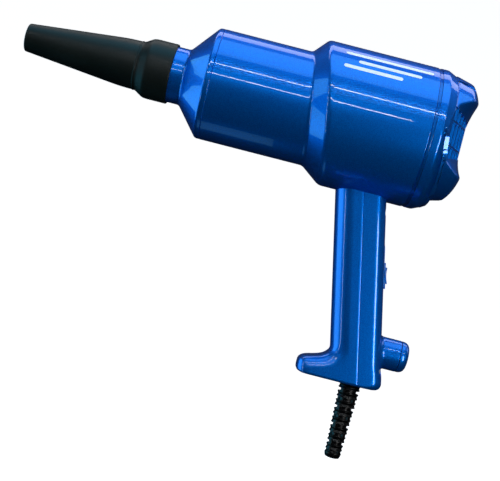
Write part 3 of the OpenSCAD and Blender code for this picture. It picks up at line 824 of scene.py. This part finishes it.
def addGrille(made):
    # slats and ribs follow the hollow's floor, a little below its skin
    bm = bmesh.new()
    bm.from_mesh(made.data)
    centre = tool["axisHeight"] + cover["rise"] * mm
    pitch, width = cover["slatPitch"], cover["slatWidth"]
    for i in range(-cover["lastColumn"], cover["lastColumn"]):
        y = (i + 0.5) * pitch
        reach = slotReach(y) + 1.0
        x = hollowFloor(y) - 0.25
        verts = boxAt(bm, ((x - 3.6) * mm, (y - width / 2) * mm, centre - reach * mm),
                      (x * mm, (y + width / 2) * mm, centre + reach * mm))
        slant = (hollowFloor(y + 1) - hollowFloor(y - 1)) / 2
        for vertex in verts:
            vertex.co.x += slant * (vertex.co.y - y * mm)
        bevelEdges(bm, edgesAt(verts), 0.4 * mm, 2)
    edge = (cover["lastColumn"] + 0.5) * pitch
    for side in (-1, 1):
        grid = bmesh.ops.create_grid(bm, x_segments=56, y_segments=1, size=1)["verts"]
        faces = {f for v in grid for f in v.link_faces}
        for vertex in grid:
            y = vertex.co.x * edge
            z = side * cover["ribHeight"] + vertex.co.y * width / 2
            vertex.co = ((hollowFloor(y) - 0.4) * mm, y * mm, centre + z * mm)
        drawn = bmesh.ops.extrude_face_region(bm, geom=list(faces))["geom"]
        bmesh.ops.translate(bm, verts=vertsIn(drawn), vec=(-2.6 * mm, 0, 0))
    bmesh.ops.recalc_face_normals(bm, faces=bm.faces)
    bm.to_mesh(made.data)
    bm.free()


makeRearCover()
print("rear cover made")


# Handle: one skin split into a front and a back shell, with a toe, a flared heel and a stub

handle = {
    "halfDepth": 22.5, "halfWidth": 19.0, "frontDepth": 16.0, "backCorner": 9.5, "split": 1.4,
    "flankShare": 0.06, "cornerShare": 0.10, "toeCorner": 12.0, "toeEdge": 8.5, "toeTop": -60,
    "gripTop": 73, "sink": 1.2, "around": 120, "upToe": 90, "upGrip": 60, "scoopHeight": 37.3,
    "scoopDepth": 1.1, "scoopAcross": 6.2, "scoopAlong": 5.6, "footRound": 2.4, "heelRound": 7.5,
    "footRows": 8, "heelFlare": 1.0, "flareTop": -70, "flareFade": 12, "heelFrom": 4,
    "heelFade": 16, "grooveHalf": 0.6, "grooveDepth": 0.4, "cableHole": 7.2, "switchHole": (7.2, 10.2),
}

# height over the foot and station of the toe's front, from the foot up to where it meets the grip
toeFront = [(0, -32.6), (1.4, -33.7), (4, -34.35), (7, -34.5), (10.4, -34.2), (12.6, -33.0), (14.4, -30.6),
            (15.8, -26.8), (17.2, -21.2), (19, -15.8), (21.4, -11.8), (25, -8.6), (30, -6.0), (40, -2.0)]


def curveAt(knots, t):
    # smooth curve through the knots
    if t <= knots[0][0]:
        return knots[0][1]
    for i in range(len(knots) - 1):
        (t0, v0), (t1, v1) = knots[i], knots[i + 1]
        if t > t1:
            continue
        before, after = knots[max(i - 1, 0)], knots[min(i + 2, len(knots) - 1)]
        m0 = (v1 - before[1]) / (t1 - before[0]) * (t1 - t0)
        m1 = (after[1] - v0) / (after[0] - t0) * (t1 - t0)
        k = (t - t0) / (t1 - t0)
        return (v0 * (2 * k ** 3 - 3 * k ** 2 + 1) + m0 * (k ** 3 - 2 * k ** 2 + k)
                + v1 * (3 * k ** 2 - 2 * k ** 3) + m1 * (k ** 3 - k ** 2))
    return knots[-1][1]


def gripOutline(s):
    # (depth, across, on the front half) at a fraction of the way round the grip
    h = handle
    back, corner = h["halfDepth"], h["backCorner"]
    nose = h["frontDepth"] - h["halfDepth"]
    if s <= 0.5:
        a = math.radians(90 + 360 * s)
        return nose + h["frontDepth"] * math.cos(a), h["halfWidth"] * math.sin(a), 0 < s < 0.5
    side = 1 if s > 0.75 else -1
    t = (s - 0.5) if side < 0 else (1 - s)
    flank, turned = h["flankShare"], h["flankShare"] + h["cornerShare"]
    if t < flank:
        return nose + (back - corner - nose) * t / flank, side * h["halfWidth"], False
    if t < turned:
        a = math.radians(90 * (t - flank) / h["cornerShare"])
        return (back - corner + corner * math.sin(a),
                side * (h["halfWidth"] - corner + corner * math.cos(a)), False)
    return back, side * (h["halfWidth"] - corner) * (0.25 - t) / (0.25 - turned), False


def cornerDrop(past, radius):
    # how far a rounded corner falls away at a distance past its start
    if past <= 0:
        return 0.0
    return radius - math.sqrt(max(0.0, radius ** 2 - past ** 2))


def toeAt(y, z):
    # station of the toe's skin at a distance across and a height; it runs far back above the toe
    h = handle
    drop = cornerDrop(abs(y) - (h["halfWidth"] - h["toeEdge"]), h["toeEdge"])
    plan = cornerDrop(abs(y) - (h["halfWidth"] - h["toeCorner"]), h["toeCorner"])
    return curveAt(toeFront, z - tool["footHeight"] / mm + drop) + plan


def gripBack(z):
    # station of the grip's flat back at a height
    return (handle["halfDepth"] / math.cos(tool["rake"])) - z * math.tan(tool["rake"])


def handlePoint(s, z):
    # z in millimetres over the grip's centre
    h = handle
    depth, across, front = gripOutline(s)
    x = depth / math.cos(tool["rake"]) - z * math.tan(tool["rake"])
    if front:
        x = softMin(x, toeAt(across, z), 3.0)
    else:
        reach = smoothStep((depth - h["split"]) / h["flareFade"])
        x += h["heelFlare"] * smoothStep((h["flareTop"] - z) / h["flareFade"]) * reach
        along = (z - depth * math.sin(tool["rake"])) / math.cos(tool["rake"]) - h["scoopHeight"]
        if depth >= h["halfDepth"] - 0.1:
            dip = smoothStep((h["scoopAcross"] - abs(across)) / 1.6)
            x -= h["scoopDepth"] * dip * smoothStep((h["scoopAlong"] - abs(along)) / 1.8)
    return x, across, z


def footRadius(s):
    # the foot's edge is tight at the toe and full at the heel
    h = handle
    heel = smoothStep((gripOutline(s)[0] - h["heelFrom"]) / h["heelFade"])
    return h["footRound"] + (h["heelRound"] - h["footRound"]) * heel


def footPoint(s, lift):
    # the skin's point on the rounded edge of the foot; lift is the angle up from the foot's face
    radius = footRadius(s)
    z = tool["footHeight"] / mm + radius * (1 - math.cos(lift))
    x, y, z = handlePoint(s, z)
    ahead, behind = handlePoint((s + 0.004) % 1, z), handlePoint((s - 0.004) % 1, z)
    along = Vector((ahead[0] - behind[0], ahead[1] - behind[1])).normalized()
    inset = radius * (1 - math.sin(lift))
    return x - along.y * inset, y + along.x * inset, z


def makeHandleSkin():
    # a grid wrapped round the handle: rows up the foot's edge, then the toe, then the grip
    h = handle
    low, high = h["footRows"], h["footRows"] + h["upToe"]
    rows = high + h["upGrip"]
    bm = bmesh.new()
    bmesh.ops.create_grid(bm, x_segments=h["around"], y_segments=rows, size=1)
    for vertex in bm.verts:
        s = round((vertex.co.x + 1) / 2 * h["around"]) / h["around"]
        row = round((vertex.co.y + 1) / 2 * rows)
        start = tool["footHeight"] / mm + footRadius(s)
        if row < low:
            point = footPoint(s, math.pi / 2 * row / low)
        elif row <= high:
            point = handlePoint(s, start + (h["toeTop"] - start) * (row - low) / h["upToe"])
        elif row < rows:
            point = handlePoint(s, h["toeTop"] + (h["gripTop"] - h["toeTop"]) * (row - high) / h["upGrip"])
        else:
            # the last row follows the housing and sinks a little into it
            y = gripOutline(s)[1]
            under = tool["axisHeight"] / mm - math.sqrt(barrel["housingRadius"] ** 2 - y * y)
            point = handlePoint(s, under + h["sink"])
        vertex.co = Vector(point) * mm
    bmesh.ops.remove_doubles(bm, verts=bm.verts, dist=1e-6)
    rim = [e for e in bm.edges if e.is_boundary and all(v.co.z < -0.09 for v in e.verts)]
    bmesh.ops.contextual_create(bm, geom=rim)
    bmesh.ops.recalc_face_normals(bm, faces=bm.faces)
    return bm


def splitHandle(skin, front):
    # parts the skin along the seam and turns the parted edge in, so that the seam shows as a fine groove
    bm = skin.copy()
    seam = handleBack * handle["split"] * mm
    shoulder = seam + handleBack * (-1 if front else 1) * handle["grooveHalf"] * mm
    bmesh.ops.bisect_plane(bm, geom=bm.verts[:] + bm.edges[:] + bm.faces[:], dist=1e-7,
                           plane_co=shoulder, plane_no=handleBack)
    bmesh.ops.bisect_plane(bm, geom=bm.verts[:] + bm.edges[:] + bm.faces[:], dist=1e-7,
                           plane_co=seam, plane_no=handleBack, clear_outer=front, clear_inner=not front)
    bm.normal_update()
    lip = [v for v in bm.verts if abs((v.co - seam).dot(handleBack)) < 2e-6]
    turned = [(v, v.co - v.normal * handle["grooveDepth"] * mm) for v in lip]
    for vertex, place in turned:
        vertex.co = place - handleBack * (place - seam).dot(handleBack)
    return bm


# height and offset of each handle screw, and how deep their heads sit behind the grip's centre
handleScrews = [(60, 11), (60, -11), (-82, 12.5), (-82, -12.5)]
handleScrewSeat = 19.5 * mm


def handleScrewPlaces():
    for z, y in handleScrews:
        yield handleTurn @ Vector((handleScrewSeat, y * mm, z * mm))


def addSwitchHole(bm, slack=0.0):
    # the opening that the switch passes through, in the handle and in the plate over it
    across, along = ((half + slack) * mm for half in handle["switchHole"])
    height = tool["switchHeight"]
    boxAt(bm, (0.012, -across, height - along), (0.04, across, height + along), handleTurn)


def makeHandleShells():
    skin = makeHandleSkin()
    for name, front, node in (("handleFrontShell", True, "handle_front_shell"),
                              ("handleBackShell", False, "handle_back_shell")):
        made = newObject(name, splitHandle(skin, front), recalc=False)
        thicken(made, tool["wall"])
        applyModifiers(made)
        cutters = bmesh.new()
        cylinderAlong(cutters, (tool["cablePlace"], 0, -0.1), (0, 0, 1), 0.016, handle["cableHole"] * mm, 48)
        if not front:
            for place in handleScrewPlaces():
                cylinderAlong(cutters, place, handleBack, 0.012, tool["screwWell"])
            addSwitchHole(cutters)
        cutWith(made, newObject("cutters", cutters))
        if not front:
            joinStub(made)
        dress(made, "blue_gloss", "housing", [node], sharp=34)
    skin.free()


stub = {"radius": 14.2, "root": 36.0, "end": 52.8, "flare": 3.6, "bore": 4.6}


def joinStub(made):
    # a hollow stub whose root flares into the leaning back of the handle
    s = stub
    radius, end, corner = s["radius"], s["end"], handle["backCorner"]
    curve = [(s["root"] + s["flare"] * (1 - math.cos(a)), radius + s["flare"] * (1 - math.sin(a)))
             for a in [math.radians(11.25 * i) for i in range(1, 9)]]
    profile = [(s["root"] - 2, radius + s["flare"] * 0.7)] + curve + roundOff([
        (end - 4, radius), (end, radius, 0.7), (end, s["bore"]), (end - 2.5, s["bore"]),
        (end - 2.5, radius - 2.6), (s["root"] - 2, radius - 2.6),
    ])
    extra = spinProfile(profile, 112, tool["knobHeight"])
    finishMesh(extra)
    for vertex in extra.verts:
        x, y, z = vertex.co / mm
        past = min(abs(y) - (handle["halfWidth"] - corner), corner)
        lean = gripBack(z) - cornerDrop(past, corner) - s["root"]
        vertex.co.x += lean * mm * smoothStep((end - 3 - x) / (end - 3 - s["root"]))
    bm = bmesh.new()
    bm.from_mesh(made.data)
    pourInto(bm, extra)
    bm.to_mesh(made.data)
    bm.free()


makeHandleShells()
print("handle made")


# Speed knob

knob = {"start": 53.15, "end": 61.0, "round": 7.0, "bore": 3.0, "boreEnd": 58.0, "well": 8.0, "wellEnd": 55.5}


def makeKnob():
    k = knob
    radius = stub["radius"] - 0.1
    profile = roundOff([
        (k["start"], radius, 0.5), (k["end"], radius, k["round"]), (k["end"], 0.0),
        (k["boreEnd"], 0.0), (k["boreEnd"], k["bore"]), (k["wellEnd"], k["bore"]),
        (k["wellEnd"], k["well"]), (k["start"], k["well"]),
    ], steps=9)
    made = newObject("speedKnob", spinProfile(profile, 96, tool["knobHeight"]))
    dress(made, "blue_gloss", "knob", ["speed_knob"])


# Switch: plate, bezel, rocker

switch = {
    "plateLow": -8.0, "plateHigh": 31.0, "plateHalf": 9.0, "plateBase": 22.0, "plateTop": 23.1,
    "bezelTop": 24.3, "bezelHalf": (8.5, 11.75), "bodyHalf": (7.0, 10.0), "bodyFloor": 5.0,
    "wellHalf": (6.2, 9.1), "wellFloor": 13.0, "pivot": 19.0, "pinHalf": 6.9, "pinRadius": 1.3,
    "pinHole": 1.6, "keyHalf": 5.7,
}


def makeSwitchPlate():
    s = switch
    bm = bmesh.new()
    boxAt(bm, (s["plateBase"] * mm, -s["plateHalf"] * mm, s["plateLow"] * mm),
          (s["plateTop"] * mm, s["plateHalf"] * mm, s["plateHigh"] * mm))
    corners = [e for e in bm.edges if abs((e.verts[0].co - e.verts[1].co).normalized().x) > 0.9]
    bevelEdges(bm, corners, 2.4 * mm, 6)
    top = [e for e in bm.edges if all(v.co.x > (s["plateTop"] - 0.05) * mm for v in e.verts)]
    bevelEdges(bm, top, 0.25 * mm, 2)
    bmesh.ops.transform(bm, matrix=handleTurn, verts=bm.verts)
    made = newObject("switchPlate", bm)
    cutter = bmesh.new()
    addSwitchHole(cutter, 0.05)
    cutWith(made, newObject("cutter", cutter))
    dress(made, "blue_satin", "housing", ["switch_plate"])


def switchBlock(bm, low, high, halves):
    # a block of the switch between two depths behind the grip's centre
    across, along = (half * mm for half in halves)
    height = tool["switchHeight"]
    boxAt(bm, (low * mm, -across, height - along), (high * mm, across, height + along), handleTurn)


def makeSwitchBody():
    s = switch
    bm = bmesh.new()
    switchBlock(bm, s["bodyFloor"], s["plateTop"], s["bodyHalf"])
    switchBlock(bm, s["plateTop"], s["bezelTop"], s["bezelHalf"])
    made = newObject("switchBody", bm)
    well = bmesh.new()
    switchBlock(well, s["wellFloor"], 30, s["wellHalf"])
    start = handleTurn @ Vector((s["pivot"] * mm, -(s["pinHalf"] + 0.7) * mm, tool["switchHeight"]))
    cylinderAlong(well, start, (0, 1, 0), 2 * (s["pinHalf"] + 0.7) * mm, s["pinHole"] * mm)
    cutWith(made, newObject("well", well), tangled=True)
    soften(made, 0.35 * mm)
    dress(made, "blue_satin", "housing", ["switch_body"])


def makeRocker():
    # two raised ends and a shallow saddle, with a pivot bar through it
    s = switch
    pivot, height = s["pivot"] * mm, tool["switchHeight"]
    half = [(-2.0, 6.3), (3.5, 7.0), (6.9, 7.4), (7.15, 6.9), (7.0, 6.2), (6.75, 5.0), (6.45, 3.0)]
    outline = [(u, -z) for u, z in half] + [(6.3, 0)] + half[::-1]
    bm = bmesh.new()
    verts = [bm.verts.new((pivot + u * mm, -s["keyHalf"] * mm, height + z * mm)) for u, z in outline]
    face = bm.faces.new(verts)
    far = bmesh.ops.extrude_face_region(bm, geom=[face])["geom"]
    bmesh.ops.translate(bm, verts=vertsIn(far), vec=(0, 2 * s["keyHalf"] * mm, 0))
    bmesh.ops.recalc_face_normals(bm, faces=bm.faces)
    for side in (-1, 1):
        for z in (-5.2, 5.2):
            # a pair of plain raised ticks on each end
            tick = boxAt(bm, (pivot + 6.5 * mm, (side * 1.6 - 0.5) * mm, height + (z - 0.9) * mm),
                         (pivot + 7.2 * mm, (side * 1.6 + 0.5) * mm, height + (z + 0.9) * mm))
            bevelEdges(bm, edgesAt(tick), 0.15 * mm, 1, clamp=True)
    cylinderAlong(bm, (pivot, -s["pinHalf"] * mm, height), (0, 1, 0), 2 * s["pinHalf"] * mm,
                  s["pinRadius"] * mm)
    bmesh.ops.transform(bm, matrix=handleTurn, verts=bm.verts)
    made = newObject("rockerKey", bm, recalc=False)
    soften(made, 0.45 * mm)
    dress(made, "blue_satin", "rocker", ["rocker"])


# Screws: pan heads with a cross recess, on a plain shank

# kind: (shank length, shank radius, head radius, head height)
screwKinds = {
    "upper": (34.5, 1.5, 3.2, 2.0),
    "lower": (32.0, 1.5, 3.2, 2.0),
    "cover": (25.5, 1.5, 3.2, 2.2),
    "plate": (6.0, 1.1, 2.2, 1.0),
}
plateScrewHeight = 26 * mm


def addScrew(bm, place, direction, shank, shankRadius, head, headHeight):
    # place is the head's seat; direction points out of the head
    turn = Vector(direction).to_track_quat("Z", "Y").to_matrix().to_4x4()
    own = bmesh.new()
    profile = roundOff([(-shank, 0.01), (-shank, shankRadius, 0.3), (0, shankRadius), (0, head, 0.15),
                        (headHeight, head, headHeight * 0.55), (headHeight, head * 0.55)], steps=4)
    spinUpright(own, [(r * mm, x * mm) for x, r in profile], 32)
    # the recess is a four-armed well in the middle of the head
    arm, half, deep = head * 0.5, head * 0.13, headHeight * 0.55
    cross = [(arm, -half), (arm, half), (half, half), (half, arm), (-half, arm), (-half, half),
             (-arm, half), (-arm, -half), (-half, -half), (-half, -arm), (half, -arm), (half, -half)]
    loop = [own.verts.new((x * mm, y * mm, headHeight * mm)) for x, y in cross]
    star = [own.edges.new((loop[i], loop[(i + 1) % 12])) for i in range(12)]
    ring = [e for e in own.edges if e.is_boundary and all(v.co.z > headHeight * mm * 0.99 for v in e.verts)
            and e not in star]
    bmesh.ops.triangle_fill(own, edges=ring + star, use_beauty=True)
    inside = [f for f in own.faces if all(v in loop for v in f.verts)]
    bmesh.ops.delete(own, geom=inside, context="FACES_ONLY")
    well = bmesh.ops.extrude_edge_only(own, edges=star)["geom"]
    floor = vertsIn(well)
    bmesh.ops.translate(own, verts=floor, vec=(0, 0, -deep * mm))
    floorEdges = [e for e in well if isinstance(e, bmesh.types.BMEdge) and all(v in floor for v in e.verts)]
    bmesh.ops.contextual_create(own, geom=floorEdges)
    bmesh.ops.holes_fill(own, edges=[e for e in own.edges if e.is_boundary], sides=0)
    bmesh.ops.recalc_face_normals(own, faces=own.faces)
    bmesh.ops.transform(own, matrix=Matrix.Translation(place) @ turn, verts=own.verts)
    pourInto(bm, own)


def makeScrews():
    bm = bmesh.new()
    for place, (z, _) in zip(handleScrewPlaces(), handleScrews):
        addScrew(bm, place, handleBack, *screwKinds["upper" if z > 0 else "lower"])
    dress(newObject("handleScrews", bm, recalc=False), "zinc_steel", "housing", ["handle_screws"])
    bm = bmesh.new()
    for place in coverScrewPlaces():
        addScrew(bm, place, (1, 0, 0), *screwKinds["cover"])
    dress(newObject("coverScrews", bm, recalc=False), "zinc_steel", "housing", ["cover_screws"])
    bm = bmesh.new()
    place = handleTurn @ Vector((switch["plateTop"] * mm, 0, plateScrewHeight))
    addScrew(bm, place, handleBack, *screwKinds["plate"])
    dress(newObject("plateScrew", bm, recalc=False), "zinc_steel", "housing", ["plate_screw"])


makeKnob()
makeSwitchPlate()
makeSwitchBody()
makeRocker()
makeScrews()
print("controls made")


# Cable boot: stacked ribs on a slim core, bridged by short spines that alternate round it

boot = {
    "length": 69.1, "ribs": 8, "first": 0.6, "topRadius": 10.2, "tipRadius": 7.6, "bore": 4.2,
    "ribHeight": 4.9, "grooveDepth": 2.9, "tipHeight": 5.1, "flange": 10.0, "neck": 7.1,
    "spineHalf": 1.9,
}


def bootRadius(drop):
    return boot["topRadius"] + (boot["tipRadius"] - boot["topRadius"]) * drop / boot["length"]


def makeBoot():
    b = boot
    pitch = (b["length"] - 5) / b["ribs"]
    end, rib, tip = -b["length"], b["ribHeight"], b["tipRadius"]
    points = [(4.6, b["bore"]), (4.6, b["flange"], 0.4), (2.7, b["flange"], 0.3), (2.7, b["neck"]),
              (0.2, b["neck"])]
    for i in range(b["ribs"]):
        top = -(b["first"] + i * pitch)
        outer = bootRadius(-top)
        core = outer - b["grooveDepth"]
        points += [(top, core, 0.5), (top, outer, 0.7), (top - rib / 2, outer - 1.2, 0.4),
                   (top - rib, outer - 0.1, 0.7), (top - rib, core - 0.1, 0.5)]
    points += [(end + b["tipHeight"], tip - 1.4, 0.5), (end + b["tipHeight"], tip, 0.8),
               (end + 2.6, tip, 2.4), (end + 0.3, tip - 1.4, 1.4), (end, b["bore"], 0.4)]
    bm = bmesh.new()
    spinUpright(bm, [(r * mm, z * mm) for z, r in roundOff(points, steps=4)], 72, closed=True)
    bmesh.ops.recalc_face_normals(bm, faces=bm.faces)
    for i in range(b["ribs"]):
        drop = b["first"] + i * pitch + rib
        for k in range(2):
            spine = boxAt(bm, (3.0 * mm, -b["spineHalf"] * mm, -(drop + pitch - rib + 1.2) * mm),
                          ((bootRadius(drop) - 0.5) * mm, b["spineHalf"] * mm, -(drop - 1.2) * mm),
                          Matrix.Rotation(math.radians(90 * i + 180 * k + 45), 4, "Z"))
            bevelEdges(bm, edgesAt(spine), 0.5 * mm, 2, clamp=True)
    bmesh.ops.translate(bm, verts=bm.verts, vec=(tool["cablePlace"], 0, tool["footHeight"]))
    dress(newObject("cableBoot", bm, recalc=False), "boot_rubber", "housing", ["cable_boot"])


# Three plain rounded wind lines on the near and far sides of the housing

# lines: (height over the axis, front end, rear end)
mark = {
    "lines": [(50.2, -60.0, 14.0), (43.6, -48.0, 4.0), (37.0, -60.0, -12.0)],
    "halfStroke": 1.9, "skin": 63.96, "thickness": 0.2,
}


def makeMark():
    m = mark
    toAxis = Matrix.Translation((0, 0, tool["axisHeight"]))
    toSkin = Matrix.Translation((0, 0, m["skin"] * mm))
    bm = bmesh.new()
    for side in (-1, 1):
        for height, start, end in m["lines"]:
            ring = bmesh.ops.create_circle(bm, cap_ends=True, segments=28,
                                           radius=m["halfStroke"] * mm)["verts"]
            for vertex in ring:
                vertex.co.x += (end if vertex.co.x > 0 else start) * mm
            face = ring[0].link_faces[0]
            raised = vertsIn(bmesh.ops.extrude_face_region(bm, geom=[face])["geom"])
            bmesh.ops.translate(bm, verts=raised, vec=(0, 0, m["thickness"] * mm))
            # lie the line on the cylinder: its height over the axis gives its tilt
            tilt = side * (math.asin(height / m["skin"]) - math.pi / 2)
            place = toAxis @ Matrix.Rotation(tilt, 4, "X") @ toSkin
            bmesh.ops.transform(bm, matrix=place, verts=ring + raised)
    made = newObject("windMark", bm)
    dress(made, "blue_gloss", "housing", [], glowingMarkWhite)


makeBoot()
makeMark()
print("boot and mark made")


# The remaining frame parts keep their shape and take a finish

def dressNodes():
    slots = {entry["node"]: entry["material_slot"] for entry in frame["record"]["subparts"]}
    for name, node in frame["nodes"].items():
        finish = finishes.get(slots.get(name))
        if finish is None:
            continue
        if node.data.materials:
            for i in range(len(node.data.materials)):
                node.data.materials[i] = finish
        else:
            node.data.materials.append(finish)


dressNodes()
print("inner parts finished")
